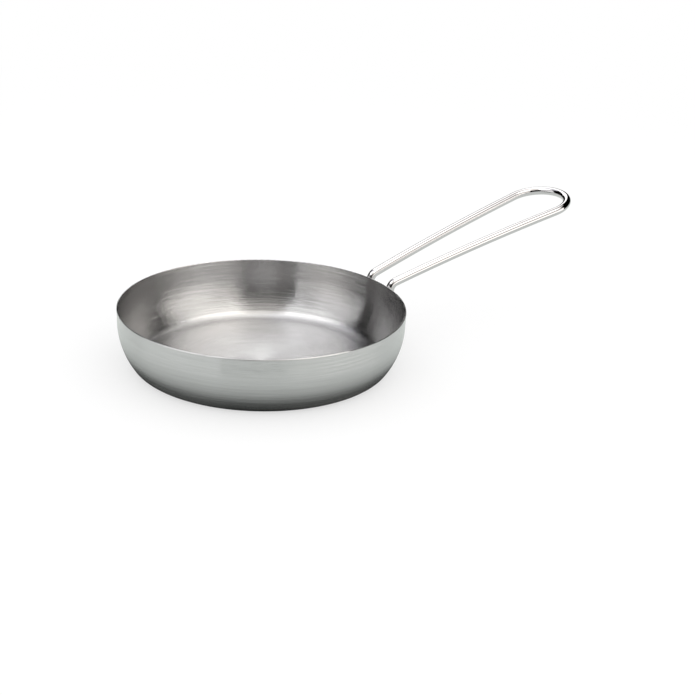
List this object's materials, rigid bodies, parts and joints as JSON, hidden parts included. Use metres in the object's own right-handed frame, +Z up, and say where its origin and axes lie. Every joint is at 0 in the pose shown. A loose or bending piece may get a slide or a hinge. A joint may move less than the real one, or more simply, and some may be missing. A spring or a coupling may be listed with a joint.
{
  "type": "omelette pan",
  "caption": "Shallow round pan with a flat base, a steep curved wall and a plain rim. A long loop handle of bare round wire is bent over the rim and welded to the outside of the wall.",
  "frame": {"origin": "middle of the base's underside", "axes": "+Z up out of the pan's mouth, +X along the handle, away from the pan, and +Y to the right of the cook who holds the handle"},
  "size_m": [0.3021, 0.16, 0.0698],
  "materials": {
    "satin_steel": "stainless sheet with a fine satin brushing that runs round the pan",
    "bright_wire": "stainless wire, polished bright",
    "weld_steel": "cleaned weld bead, dull grey"
  },
  "bodies": {
    "root": {"pan_body": "satin_steel", "loop_handle": "bright_wire", "right_leg_weld": "weld_steel", "left_leg_weld": "weld_steel"}
  },
  "joints": []
}
